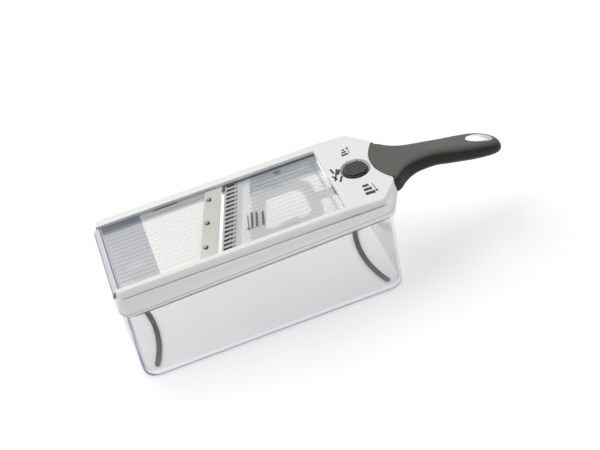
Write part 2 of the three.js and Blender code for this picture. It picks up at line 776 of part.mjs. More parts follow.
function makeCover() {
  const [x0, x1] = [coverLeft, coverRight];
  const half = coverWidth / 2;
  const corner = bossRadius + 0.6;
  const outline = (inset) => roundedOutline([
    [x0 + inset, -half + inset],
    [x1 - inset, -half + inset],
    [x1 - inset, half - inset],
    [x0 + inset, half - inset],
  ], Array(4).fill(corner - inset), 4).map(({ x, y }) => [x, y]);
  const shell = cut(prism(outline(0), coverFloor, coverRim), [
    prism(outline(coverWall), coverFloor + coverWall, coverRim + 1),
  ]);
  const posts = bossPlaces().map(([x, y]) => disc(bossRadius, x, y, coverFloor, coverRim, 16));
  const screwHoles = bossPlaces().map(([x, y]) => (
    disc(screwRadius + fit, x, y, coverFloor - 1, coverRim + 1, 16)
  ));
  const heads = bossPlaces().map(([x, y]) => (
    disc(screwHeadRadius + fit, x, y, coverFloor - 1, coverFloor + screwHeadHeight, 16)
  ));
  const opening = stemWidth / 2 + 4.2;
  const window = block(x0 - 1, x0 + coverWall + 1, -opening, opening, yokeHeight - 0.5, coverRim + 1);
  const shelf = block(knobX - 8, knobX + 8, half - 5.5, half - 1, coverFloor + 1, yokeTop + 1);
  return cut(join([shell, ...posts, shelf]), [...screwHoles, ...heads, window]);
}

function makeCoverScrew([x, y]) {
  const head = coverFloor + fit;
  return turned([
    [0, head],
    [screwHeadRadius, head],
    [screwHeadRadius, head + screwHeadHeight - 2 * fit],
    [screwRadius, head + screwHeadHeight - 2 * fit],
    [screwRadius, plateHeight - 2.2],
    [0, plateHeight - 2.2],
  ], x, y, 12);
}

// A bent steel leaf whose tip stands in the collar's middle notch.
function makeDetentSpring() {
  const seat = coverWidth / 2 - 3.6;
  const touch = collarRadius + 0.5;
  const half = coverRight - 2 * bossRadius - 0.6 - fit - knobX;
  const outline = [
    [knobX - half, seat],
    [knobX - half + 0.4, seat - leafThickness],
    [knobX - 1.6, touch + 1.4],
    [knobX, touch - 0.2],
    [knobX + 1.6, touch + 1.4],
    [knobX + half - 0.4, seat - leafThickness],
    [knobX + half, seat],
    [knobX + half - 0.4, seat + 0.1],
    [knobX + 1.3, touch + 1.4 + leafThickness],
    [knobX, touch + 0.6],
    [knobX - 1.3, touch + 1.4 + leafThickness],
    [knobX - half + 0.4, seat + 0.1],
  ];
  return prism(outline, yokeTop + 1.9, yokeTop + 4.1);
}

// ---------- handle ----------

// Stations along the grip: distance from its front, axis below the valley, half width, half height,
// lean of the sides and squareness of the section.
const gripStations = [
  [-3, 3.6, 31, 9.4, 0.02, 5],
  [0, 3.6, 31, 9.4, 0.02, 5],
  [6, 3.6, 27.7, 9.3, 0.05, 4.6],
  [11.5, 3.6, 23.8, 9.1, 0.07, 4.2],
  [18, 3.6, 19.2, 8.9, 0.08, 3.8],
  [27, 3.9, 15.9, 8.6, 0.08, 3.2],
  [45, 5.8, 13.5, 8.6, 0.08, 2.8],
  [60, 9.2, 13.9, 8.8, 0.06, 2.7],
  [82, 13.8, 14.7, 8.8, 0.05, 2.6],
  [94, 16.6, 14, 8.4, 0.04, 2.5],
  [103, 19.4, 11.9, 7.2, 0.03, 2.4],
  [108.5, 21.2, 8.9, 5.6, 0, 2.3],
  [gripLength - 1, 22.4, 5, 3.4, 0, 2.2],
  [gripLength, 22.8, 1.8, 1.4, 0, 2.2],
];

const gripCurve = [1, 2, 3, 4, 5].map((column) => (distance) => {
  const next = Math.max(1, gripStations.findIndex(([d]) => d >= distance));
  const [from, to] = [gripStations[next - 1], gripStations[next]];
  const share = (distance - from[0]) / (to[0] - from[0]);
  return from[column] + share * (to[column] - from[column]);
});

function gripAxis(x) {
  return valleyHeight - gripCurve[0](x - gripX);
}

function gripSection(distance, inset) {
  const [drop, halfWidth, halfHeight, lean, squareness] = gripCurve.map((curve) => curve(distance));
  const axis = valleyHeight - drop;
  const power = 2 / squareness;
  const sides = 28;
  return Array.from({ length: sides }, (_, i) => {
    const angle = (i / sides) * Math.PI * 2;
    const [across, up] = [Math.cos(angle), Math.sin(angle)];
    const flat = Math.sign(across) * Math.abs(across) ** power;
    const tall = Math.sign(up) * Math.abs(up) ** power;
    return [gripX + distance, (halfWidth - inset) * flat * (1 - lean * tall), axis + (halfHeight - inset) * tall];
  });
}

function gripBody(from, to, inset) {
  const spacing = 5.75;
  const inner = Array.from({ length: Math.floor(gripLength / spacing) }, (_, i) => i * spacing)
    .concat([gripLength - 4, gripLength - 1.2])
    .filter((distance) => distance > from + 0.5 && distance < to - 0.5);
  return loft([from, ...inner, to].map((distance) => gripSection(distance, inset)));
}

// The rounded tongue of the grip that laps onto the control plate.
function gripTongue(grow, z0, z1) {
  const curve = new THREE.SplineCurve([
    [gripX + 1, -tongueWidth / 2 - grow],
    [gripX - 4.6, -tongueWidth * 0.36 - grow],
    [gripX - tongueLength * 0.9 - grow, -tongueWidth / 6],
    [gripX - tongueLength - grow, 0],
    [gripX - tongueLength * 0.9 - grow, tongueWidth / 6],
    [gripX - 4.6, tongueWidth * 0.36 + grow],
    [gripX + 1, tongueWidth / 2 + grow],
  ].map(([x, y]) => new THREE.Vector2(x, y)));
  const points = curve.getPoints(24).map(({ x, y }) => [x, y]).reverse();
  return prism(points, z0, z1);
}

function handleScrewPlaces() {
  return [-handleScrewSpan / 2, handleScrewSpan / 2];
}

function makeHandleCore() {
  const core = gripBody(fit, 96, gripWall + fit);
  const holes = handleScrewPlaces().map((y) => (
    bar([gripX - 4, y, gripAxis(gripX)], [gripX + 9, y, gripAxis(gripX)], screwRadius + fit)
  ));
  return cut(core, holes);
}

function makeHandleScrew(y) {
  const z = gripAxis(gripX);
  const head = gripX - fit - frameWall - 2 * fit;
  return join([
    bar([head - screwHeadHeight, y, z], [head, y, z], screwHeadRadius, 12),
    bar([head - 0.5, y, z], [gripX + 8, y, z], screwRadius, 12),
  ]);
}

function inlayBody(grow, z0, z1) {
  const shape = new THREE.Shape();
  shape.absellipse(0, 0, inlayLength / 2 + grow, inlayWidth / 2 + grow, 0, Math.PI * 2, false, 0);
  const geometry = new THREE.ExtrudeGeometry(shape, { depth: z1 - z0, bevelEnabled: false, curveSegments: 8 });
  const distance = 93;
  const drop = Math.atan2(gripAxis(gripX + distance - 11) + gripCurve[2](distance - 11)
    - gripAxis(gripX + distance + 9) - gripCurve[2](distance + 9), 20);
  geometry.translate(0, 0, z0);
  geometry.rotateY(drop);
  geometry.translate(gripX + distance, 0, gripAxis(gripX + distance) + gripCurve[2](distance) - 0.5);
  return toSolid(geometry);
}

function makeGrip() {
  const shell = gripBody(0, gripLength, 0);
  const hollow = gripBody(-2, 97, gripWall);
  const lap = gripTongue(0, plateHeight - 1.6, plateHeight + 0.4);
  return cut(join([shell, lap]), [
    hollow,
    inlayBody(fit, -inlayThickness + 0.4 - fit, 10),
  ]);
}

// ---------- materials and assembly ----------

function plastic(color, roughness, opacity = 1) {
  return new THREE.MeshStandardMaterial({ color, roughness, metalness: 0, opacity, transparent: opacity < 1 });
}

function steel(color, roughness) {
  return new THREE.MeshStandardMaterial({ color, roughness, metalness: 1 });
}

const slicer = new THREE.Group();
slicer.position.x = -originX;

function addPiece(name, solid, material) {
  const mesh = new THREE.Mesh(toGeometry(solid), material);
  mesh.name = name;
  slicer.add(mesh);
}

const clear = () => plastic(0xdfe5ec, 0.08, 0.35);
const white = () => plastic(0xf2f2ef, 0.35);

addPiece('container', makeContainer(), clear());
addPiece('foot_strip_left', footStrip(-1, 0, 0, footThickness), plastic(0x4b5052, 0.7));
addPiece('foot_strip_right', footStrip(1, 0, 0, footThickness), plastic(0x4b5052, 0.7));
addPiece('main_frame', makeFrame(), white());
addPiece('landing_deck', makeDeck(), plastic(0xb8c1cc, 0.1, 0.45));
addPiece('blade', makeBlade(), steel(0xdcd9cf, 0.3));
rivetPlaces().forEach((place, i) => (
  addPiece(`blade_rivet_${i + 1}`, makeRivet(place), steel(0xb9b7b0, 0.35))
));
addPiece('runway', makeRunway(), plastic(0xc3cad1, 0.1, 0.4));
addPiece('runway_hinge_pin', makeHingePin(), steel(0xc4c6c8, 0.3));
addPiece('julienne_comb', makeComb(), steel(0xd0d2d2, 0.3));
addPiece('comb_carrier', makeCombCarrier(), white());
addPiece('adjuster_yoke', makeYoke(), plastic(0xb4b7b8, 0.45));
addPiece('knob', makeKnob(), plastic(0x1c1d1d, 0.45));
addPiece('knob_shaft', makeKnobShaft(), plastic(0x2a2b2c, 0.5));
addPiece('knob_screw', makeKnobScrew(), steel(0x8d8f91, 0.35));
addPiece('detent_spring', makeDetentSpring(), steel(0xb9bbbd, 0.3));
addPiece('mechanism_cover', makeCover(), white());
bossPlaces().forEach((place, i) => (
  addPiece(`cover_screw_${i + 1}`, makeCoverScrew(place), steel(0xa9abad, 0.35))
));
addPiece('handle_core', makeHandleCore(), plastic(0xd8d8d4, 0.5));
handleScrewPlaces().forEach((y, i) => (
  addPiece(`handle_screw_${i + 1}`, makeHandleScrew(y), steel(0xa9abad, 0.35))
));
addPiece('handle_grip', makeGrip(), plastic(0x5d5e59, 0.6));
addPiece('handle_inlay', inlayBody(0, -inlayThickness + 0.4, 0.4), plastic(0xdcdcda, 0.3));

export default slicer;
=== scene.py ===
import math

import bmesh
import bpy
from mathutils import Matrix, Vector


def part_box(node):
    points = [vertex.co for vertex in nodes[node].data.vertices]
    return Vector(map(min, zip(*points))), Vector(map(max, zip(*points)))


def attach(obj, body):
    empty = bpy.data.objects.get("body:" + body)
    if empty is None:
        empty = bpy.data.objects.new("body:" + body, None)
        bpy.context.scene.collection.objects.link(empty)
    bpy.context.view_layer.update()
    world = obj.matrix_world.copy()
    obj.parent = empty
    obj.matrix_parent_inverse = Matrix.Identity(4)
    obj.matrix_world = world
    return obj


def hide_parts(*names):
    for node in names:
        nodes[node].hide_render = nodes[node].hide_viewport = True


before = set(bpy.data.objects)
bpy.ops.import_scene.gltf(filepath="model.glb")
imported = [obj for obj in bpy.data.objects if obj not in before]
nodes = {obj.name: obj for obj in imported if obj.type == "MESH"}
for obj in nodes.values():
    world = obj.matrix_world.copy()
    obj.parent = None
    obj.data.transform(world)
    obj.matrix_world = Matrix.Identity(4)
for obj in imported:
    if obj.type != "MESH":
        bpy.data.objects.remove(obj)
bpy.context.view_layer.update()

scene = bpy.context.scene
mm = 0.001


def place(name):
    low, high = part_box(name)
    return Vector(low), Vector(high)


# where the main lines of the slicer lie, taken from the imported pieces
frameLow, frameHigh = place("main_frame")
bladeLow, bladeHigh = place("blade")
knobLow, knobHigh = place("knob")
inlayLow, inlayHigh = place("handle_inlay")
runwayHigh = place("runway")[1]
carrierHigh = place("comb_carrier")[1]
endX = frameLow.x                          # end of the lip away from the handle
bladeX = (bladeLow.x + bladeHigh.x) / 2
slant = 0.311                              # how far the blade leans along x for each step across
plateX = endX + 211.8 * mm                 # edge of the control plate
plateZ = knobHigh.z - 1.2 * mm
gripX = plateX + 50 * mm                   # front of the grip
runwayZ = runwayHigh.z - 0.35 * mm
knobX = (knobLow.x + knobHigh.x) / 2
containerLeft = endX + 1.2 * mm            # its walls, inside the rim's flange
containerRight = plateX + 39.6 * mm
containerHalf = frameHigh.y - 4.4 * mm
rimSlope = 0.0289                          # rim and lip rise towards the handle
valleyZ = plateZ - 5.8 * mm                # foot of the rails
ribPitch = 5.4                             # of the deck, the runway and the comb's slots


class Value:
    def __init__(self, finish, socket):
        self.finish = finish
        self.socket = socket

    def combine(self, operation, first, second):
        node = self.finish.node("ShaderNodeMath", {"operation": operation}, {0: first, 1: second})
        return Value(self.finish, node.outputs[0])

    def __add__(self, other):
        return self.combine("ADD", self, other)

    def __radd__(self, other):
        return self.combine("ADD", other, self)

    def __sub__(self, other):
        return self.combine("SUBTRACT", self, other)

    def __rsub__(self, other):
        return self.combine("SUBTRACT", other, self)

    def __mul__(self, other):
        return self.combine("MULTIPLY", self, other)

    def __rmul__(self, other):
        return self.combine("MULTIPLY", other, self)

    def __pow__(self, other):
        return self.combine("POWER", self, other)

    def __abs__(self):
        return self.combine("ABSOLUTE", self, 0)


class Finish:
    def __init__(self, name):
        self.material = bpy.data.materials.new(name)
        self.material.use_nodes = True
        self.tree = self.material.node_tree
        self.tree.nodes.clear()

    def node(self, kind, settings=None, sockets=None):
        made = self.tree.nodes.new(kind)
        for key, value in (settings or {}).items():
            setattr(made, key, value)
        for key, value in (sockets or {}).items():
            socket = made.inputs[key]
            if isinstance(value, Value):
                value = value.socket
            if isinstance(value, bpy.types.NodeSocket):
                self.tree.links.new(value, socket)
            elif isinstance(value, tuple) and len(value) == 3 and socket.type == "RGBA":
                socket.default_value = (*value, 1)
            else:
                socket.default_value = value
        return made

    def coordinates(self):
        spot = self.node("ShaderNodeTexCoord").outputs["Object"]
        parts = self.node("ShaderNodeSeparateXYZ", sockets={0: spot})
        return [Value(self, parts.outputs[i]) for i in range(3)]

    def rise(self, value, low, high):  # 0 below low, 1 above high, smooth between
        made = self.node("ShaderNodeMapRange", {"interpolation_type": "SMOOTHSTEP"},
                         {"Value": value, "From Min": low, "From Max": high})
        return Value(self, made.outputs[0])

    def fromBox(self, x, y, middle, half, corner):  # distance outside a rounded rectangle
        sides = []
        for value, centre, reach in ((x, middle[0], half[0]), (y, middle[1], half[1])):
            past = abs(value - centre) - (reach - corner)
            sides.append(past.combine("MAXIMUM", past, 0))
        return (sides[0] ** 2 + sides[1] ** 2) ** 0.5 - corner

    def fromLine(self, value, pitch):  # distance to the nearest of a row of lines
        return value.combine("PINGPONG", value + 40 * pitch, pitch / 2)

    def inside(self, value, low, high, soft):
        return self.rise(value, low - soft, low + soft) * (1 - self.rise(value, high - soft, high + soft))

    def noise(self, scale, detail=3.0, stretch=(1, 1, 1), roughness=0.5):
        spot = self.node("ShaderNodeTexCoord").outputs["Object"]
        moved = self.node("ShaderNodeMapping", sockets={"Vector": spot, "Scale": stretch})
        made = self.node("ShaderNodeTexNoise", sockets={
            "Vector": moved.outputs[0], "Scale": scale, "Detail": detail, "Roughness": roughness})
        return Value(self, made.outputs[0])

    def mix(self, amount, first, second):
        made = self.node("ShaderNodeMix", {"data_type": "RGBA"}, {0: amount, 6: first, 7: second})
        return made.outputs[2]

    def bump(self, height, distance, strength=1.0):
        made = self.node("ShaderNodeBump", sockets={
            "Height": height, "Distance": distance, "Strength": strength})
        return made.outputs[0]

    def finishWith(self, **sockets):
        names = {"colour": "Base Color", "rough": "Roughness", "metal": "Metallic", "alpha": "Alpha",
                 "normal": "Normal", "coat": "Coat Weight", "coatRough": "Coat Roughness",
                 "ior": "IOR", "sheen": "Sheen Weight"}
        surface = self.node("ShaderNodeBsdfPrincipled", sockets={names[k]: v for k, v in sockets.items()})
        self.node("ShaderNodeOutputMaterial", sockets={"Surface": surface.outputs[0]})
        return self.material


whiteLook = {"colour": (0.73, 0.73, 0.715), "shade": (0.675, 0.68, 0.675), "line": (0.12, 0.135, 0.18),
             "rough": 0.32, "channelHalf": 45.6, "channelTop": 96.8, "sideStart": 52.3, "lipFoot": 79.9,
             # how dark each painted shade line is (the wall line is partly the clear insert's dark edge)
             "wall": 0.9, "crease": 0.8, "hollow": 0.1, "lipLine": 0.5, "foot": 0.6}


def makeWhite(name, lined=True):
    f = Finish(name)
    look = whiteLook
    x, y, z = f.coordinates()
    colour = f.mix(f.noise(14, 2), look["colour"], look["shade"])
    if lined:  # painted shade on the channel's inner walls, partly the dark edge of the clear insert
        wall = f.rise(look["channelHalf"] * mm - abs(y), 0, 0.3 * mm)
        wall = wall * f.rise(look["channelTop"] * mm - z, 0, 0.4 * mm)
        wall = wall * f.rise(plateX + 0.4 * mm - x, 0, 0.4 * mm) * f.rise(z, 88 * mm, 90 * mm)
        colour = f.mix(wall * look["wall"], colour, look["line"])
    overLip = z - (look["lipFoot"] * mm + rimSlope * (x - endX))
    side = f.rise(abs(y), look["sideStart"] * mm, (look["sideStart"] + 0.6) * mm)
    # painted shade lines: the crease at the rails' foot, the darker hollow below it, a line higher on the
    # lip, and the lip's lower edge (foot)
    lines = {"crease": f.inside(z, valleyZ - 0.5 * mm, valleyZ + 0.15 * mm, 0.2 * mm),
             "hollow": f.inside(z, valleyZ - 4 * mm, valleyZ, 2.2 * mm),
             "lipLine": f.inside(overLip, 2.1 * mm, 2.6 * mm, 0.2 * mm),
             "foot": 1 - f.rise(overLip, 0.2 * mm, 0.8 * mm)}
    for key, line in lines.items():
        colour = f.mix(line * side * look[key], colour, look["line"])
    rough = look["rough"] + 0.12 * f.noise(60, 4)
    grain = f.bump(f.noise(2600, 3), 0.02 * mm, 0.35)
    return f.finishWith(colour=colour, rough=rough, normal=grain, coat=0.15, coatRough=0.12)


clearLook = {"tint": (0.58, 0.59, 0.61), "cloudTint": (0.40, 0.41, 0.44), "base": (0.085, 0.09, 0.27),
             "rim": (0.07, 0.075, 0.085), "alpha": 0.03, "rough": 0.05, "corner": 16.0, "rimHeight": 79.6}


def makeClearContainer():
    f = Finish("clearContainer")
    look = clearLook
    x, y, z = f.coordinates()
    overRim = z - (look["rimHeight"] * mm + rimSlope * (x - endX))
    middle = ((containerLeft + containerRight) / 2, 0.0)
    half = ((containerRight - containerLeft) / 2, containerHalf)
    depth = f.fromBox(x, y, middle, half, look["corner"] * mm)
    low = 1 - f.rise(z, 0.9 * mm, 2.4 * mm)
    base = low * f.rise(depth, -3.4 * mm, -1.4 * mm)     # violet line around the base
    # painted shadow: dark lines in the seam just under the frame's lip, also drawn more opaque
    rim = f.inside(overRim, -0.7 * mm, 0.4 * mm, 0.2 * mm)
    lip = f.inside(overRim, -2.6 * mm, -1.7 * mm, 0.2 * mm)
    facing = Value(f, f.node("ShaderNodeLayerWeight", sockets={"Blend": 0.30}).outputs["Facing"])
    cloud = f.noise(9, 2, (0.6, 1, 1.4))
    colour = f.mix(cloud, look["tint"], look["cloudTint"])
    colour = f.mix(base, colour, look["base"])
    colour = f.mix(rim, colour, look["rim"])
    colour = f.mix(lip * 0.8, colour, look["rim"])
    ends = 1 - f.rise(x, containerLeft + 4 * mm, containerLeft + 34 * mm)
    ends = ends + f.rise(x, containerRight - 30 * mm, containerRight - 4 * mm)
    deep = 1 - f.rise(z, 4 * mm, 60 * mm)
    corner = f.inside(depth, -4.2 * mm, -2.9 * mm, 0.3 * mm) * f.rise(z, 3 * mm, 5 * mm)
    alpha = look["alpha"] + 0.06 * cloud + 0.05 * deep + 0.07 * ends * cloud
    alpha = alpha + 0.50 * facing ** 3 + 0.3 * corner + 0.80 * base + 0.60 * rim + 0.40 * lip
    floor = (1 - f.rise(z, 2.8 * mm, 3.8 * mm)) * (1 - f.rise(depth, -4.6 * mm, -3.2 * mm))
    alpha = alpha * (1 - 0.85 * floor)                   # the feet show dark through the floor
    normal = f.bump(f.noise(35, 2), 0.15 * mm, 0.25)
    return f.finishWith(colour=colour, rough=look["rough"] + 0.04 * cloud, alpha=alpha, normal=normal,
                        ior=1.46, coat=0.25, coatRough=0.03)


deckLook = {"white": (0.79, 0.79, 0.765), "frost": (0.42, 0.435, 0.455), "haze": (0.50, 0.51, 0.52),
            "band": (0.085, 0.10, 0.13), "edge": (0.07, 0.075, 0.10), "curl": (0.60, 0.62, 0.66),
            "groove": (0.34, 0.35, 0.37), "frostEnd": 44.2, "bandStart": 30, "notch": (57, 80, 42.6),
            "curlEnd": 7.4, "curlLines": ((5.9, 7.5), (0.2, 1.6)), "sideStart": 44.25}


def makeDeckFinish():
    f = Finish("ribbedClearDeck")
    look = deckLook
    x, y, z = f.coordinates()
    away = x - endX
    cloud = f.noise(30, 3, (0.5, 1, 1))
    white = f.rise(away, (look["frostEnd"] - 0.4) * mm, (look["frostEnd"] + 0.4) * mm)
    colour = f.mix(white, f.mix(cloud, look["frost"], look["haze"]), look["white"])
    groove = 1 - f.rise(f.fromLine(y, ribPitch * mm), 0.1 * mm, 1.1 * mm)
    colour = f.mix(groove * 0.30, colour, look["groove"])     # grey lines between the ribs
    streak = f.noise(70, 3, (0.25, 2.5, 1))
    # painted shade: a dark band along the far side for the shadowed inner face of the frame's skirt seen
    # through the deck
    far = f.rise(y, look["bandStart"] * mm, (look["bandStart"] + 8) * mm) * (1 - white * 0.25)
    colour = f.mix(far * (0.6 + 0.6 * streak), colour, look["band"])
    # painted shadow in the gap at the far end of the blade
    start, end, reach = look["notch"]
    notch = f.inside(away, start * mm, end * mm, 0.6 * mm) * f.rise(y, reach * mm, (reach + 0.4) * mm)
    colour = f.mix(notch, colour, look["edge"])
    gleam = f.inside(away, 17 * mm, 33 * mm, 5 * mm) * f.inside(y, -26 * mm, 0.0, 6 * mm)
    colour = f.mix(gleam * f.rise(cloud, 0.45, 0.62) * 0.6, colour, look["curl"])
    # the rolled end is painted lighter: the plastic's own bluish tint with a painted highlight
    curl = 1 - f.rise(away, look["curlEnd"] * mm, (look["curlEnd"] + 1) * mm)
    colour = f.mix(curl, colour, look["curl"])
    outer, inner = (f.inside(away, a * mm, b * mm, 0.3 * mm) for a, b in look["curlLines"])
    colour = f.mix(outer + inner, colour, look["edge"])
    side = f.rise(abs(y), look["sideStart"] * mm, (look["sideStart"] + 0.35) * mm)
    colour = f.mix(side * 0.85, colour, look["edge"])
    normal = f.bump(f.noise(220, 3), 0.05 * mm, 0.4)
    return f.finishWith(colour=colour, rough=0.18 + 0.12 * cloud, normal=normal, alpha=0.97,
                        coat=0.4, coatRough=0.05, ior=1.5)


# ranges are distances from the blade's middle line towards the handle
runwayLook = {"tint": (0.64, 0.65, 0.65), "far": (0.25, 0.275, 0.30), "land": (0.44, 0.445, 0.44),
              "slot": (0.035, 0.04, 0.045), "rung": (0.13, 0.14, 0.15), "edge": (0.09, 0.095, 0.12),
              "groove": (0.42, 0.44, 0.46), "alpha": 0.38, "landRange": (10.6, 23.2),
              "slotRange": (12.0, 19.8), "rungRange": (20.4, 22.9), "gapRange": (9.7, 10.7),
              "ribStart": 34, "sideStart": 44}


def makeRunwayFinish():
    f = Finish("ribbedClearRunway")
    look = runwayLook
    x, y, z = f.coordinates()
    across = x - slant * y - bladeX

    def band(key, soft):
        low, high = look[key]
        return f.inside(across, low * mm, high * mm, soft * mm)

    cloud = f.noise(26, 3, (0.5, 1, 1))
    ribbed = f.rise(across, look["ribStart"] * mm, (look["ribStart"] + 1) * mm)
    fromRib = f.fromLine(y, ribPitch * mm)
    groove = (1 - f.rise(fromRib, 0.1 * mm, 1.1 * mm)) * ribbed
    nearSlot = 1 - f.rise(fromRib, 1.05 * mm, 1.45 * mm)
    # painted shade: darker band along the far side for the shadowed skirt seen through the runway
    far = f.rise(y, 16 * mm, 25 * mm) * ribbed
    land = band("landRange", 0.4)
    slots = nearSlot * band("slotRange", 0.25)            # shadowed mouths of the slots
    rungs = nearSlot * band("rungRange", 0.2)
    # painted shadow in the gap just past the blade's edge, darker towards the far side
    gap = band("gapRange", 0.2) * f.rise(y, -8 * mm, 22 * mm)
    side = f.rise(abs(y), look["sideStart"] * mm, (look["sideStart"] + 0.5) * mm)
    colour = f.mix(far * 0.85, look["tint"], look["far"])
    colour = f.mix(land, colour, look["land"])
    colour = f.mix(slots, colour, look["slot"])
    colour = f.mix(rungs * 0.8, colour, look["rung"])
    colour = f.mix(gap, colour, look["edge"])
    colour = f.mix(groove * 0.30, colour, look["groove"])
    colour = f.mix(side * 0.85, colour, look["edge"])
    alpha = look["alpha"] + 0.26 * far + 0.45 * land + 0.15 * groove + 0.45 * side
    alpha = alpha + 0.05 * cloud + 0.2 * slots + 0.5 * gap
    normal = f.bump(f.noise(220, 3), 0.03 * mm, 0.3)
    return f.finishWith(colour=colour, rough=0.16 + 0.1 * cloud, normal=normal, alpha=alpha,
                        coat=0.15, coatRough=0.08, ior=1.4)


def makeSteel(name, colour, dark, rough):
    f = Finish(name)
    streak = f.noise(60, 4, (1, 40, 40))
    shade = f.mix(streak, colour, dark)
    normal = f.bump(streak, 0.01 * mm, 0.3)
    return f.finishWith(colour=shade, rough=rough + 0.14 * streak, metal=0.85, normal=normal)


bladeLook = {"face": (0.62, 0.61, 0.555), "dark": (0.49, 0.48, 0.435), "bevel": (0.95, 0.95, 0.95),
             "line": (0.25, 0.25, 0.25), "bevelRange": (8.1, 9.2), "lineRange": (7.4, 7.8)}


def makeBladeFinish():
    f = Finish("groundBladeSteel")
    look = bladeLook
    x, y, z = f.coordinates()
    across = x - slant * y - bladeX
    streak = f.noise(60, 4, (30, 1, 30))
    colour = f.mix(f.noise(22, 2), look["face"], look["dark"])
    colour = f.mix(streak * 0.35, colour, look["dark"])
    # the ground bevel is painted near-white: a painted highlight along the cutting edge
    bevel, line = (f.inside(across, low * mm, high * mm, soft * mm)
                   for (low, high), soft in ((look["bevelRange"], 0.2), (look["lineRange"], 0.15)))
    colour = f.mix(bevel, colour, look["bevel"])
    colour = f.mix(line * 0.5, colour, look["line"])
    rough = 0.30 + 0.15 * streak - 0.12 * bevel
    normal = f.bump(streak, 0.01 * mm, 0.25)
    return f.finishWith(colour=colour, rough=rough, metal=0.6 - 0.4 * bevel, normal=normal)


rivetLook = {"centre": (0.42, 0.43, 0.44), "rim": (0.07, 0.075, 0.08), "pitch": 30.5, "rowPlace": -4.1}


def makeRivetFinish():
    f = Finish("rivetSteel")
    look = rivetLook
    x, y, z = f.coordinates()
    off = f.fromLine(y, look["pitch"] * mm)
    along = x - slant * y - (bladeX + look["rowPlace"] * mm)
    ring = f.rise((off ** 2 + along ** 2) ** 0.5, 0.9 * mm, 1.5 * mm)     # lighter centre inside a dark rim
    colour = f.mix(ring, look["centre"], look["rim"])
    return f.finishWith(colour=colour, rough=0.34 + 0.1 * f.noise(400, 3), metal=0.7)


def makeMatt(name, colour, light, rough, grainScale=1800, grain=0.05):
    f = Finish(name)
    cloud = f.noise(40, 3)
    colour = f.mix(cloud, colour, light)
    normal = f.bump(f.noise(grainScale, 3), grain * mm, 0.5)
    return f.finishWith(colour=colour, rough=rough + 0.15 * cloud, normal=normal, sheen=0.1)


# top and side are lit and shaded versions of one soft-touch colour
gripLook = {"top": (0.092, 0.094, 0.084), "side": (0.010, 0.010, 0.0095), "cloud": (0.05, 0.05, 0.046),
            "rough": 0.42}


def makeGripFinish():
    f = Finish("softTouchAnthracite")
    look = gripLook
    way = f.node("ShaderNodeSeparateXYZ", sockets={0: f.node("ShaderNodeTexCoord").outputs["Normal"]})
    up = Value(f, way.outputs[2])
    lift = f.rise(up, 0.55, 0.93)     # painted light and shade by facing: lighter top, darker flanks
    # painted bounce light: the underside drawn lighter
    under = 1 - f.rise(up, -0.55, 0.05)
    cloud = f.noise(45, 3)
    colour = f.mix(lift, look["side"], look["top"])
    colour = f.mix(under * 0.75, colour, look["top"])
    colour = f.mix(cloud * 0.14, colour, look["cloud"])
    normal = f.bump(f.noise(2200, 3), 0.04 * mm, 0.5)
    return f.finishWith(colour=colour, rough=look["rough"] + 0.15 * cloud, normal=normal, ior=1.35)


inlayLook = {"near": (0.80, 0.80, 0.80), "far": (0.55, 0.56, 0.57), "edge": (0.9, 0.9, 0.9), "sweepStart": 6}


def makeInlayFinish():
    f = Finish("polishedInlay")
    look = inlayLook
    x, y, z = f.coordinates()
    # painted shading: darker towards the far end, lighter towards +y
    sweep = f.rise(x, inlayLow.x + look["sweepStart"] * mm, inlayHigh.x)
    across = f.rise(y, inlayLow.y, inlayHigh.y)
    colour = f.mix(sweep, look["near"], look["far"])
    colour = f.mix(across * 0.35, colour, look["edge"])
    rough = 0.18 + 0.08 * f.noise(90, 3)
    return f.finishWith(colour=colour, rough=rough, metal=0.25, coat=0.6, coatRough=0.06)


carrierLook = {"shade": (0.055, 0.06, 0.065), "bed": (0.36, 0.38, 0.40), "ladder": (0.86, 0.86, 0.85),
               "line": (0.92, 0.92, 0.92), "shadeEnd": 20.0, "lineStart": 26.4, "ladderStart": 27.0}


def makeCarrierFinish():
    f = Finish("combCarrier")
    look = carrierLook
    x, y, z = f.coordinates()
    across = x - slant * y - bladeX
    start = look["lineStart"]
    shade = 1 - f.rise(across, look["shadeEnd"] * mm, (look["shadeEnd"] + 1.4) * mm)
    line = f.inside(across, start * mm, (start + 1) * mm, 0.2 * mm)
    ladder = f.rise(across, look["ladderStart"] * mm, (look["ladderStart"] + 0.6) * mm)
    colour = f.mix(shade, look["bed"], look["shade"])
    colour = f.mix(ladder, colour, look["ladder"])
    colour = f.mix(line, colour, look["line"])
    return f.finishWith(colour=colour, rough=0.4 + 0.1 * f.noise(80, 3))


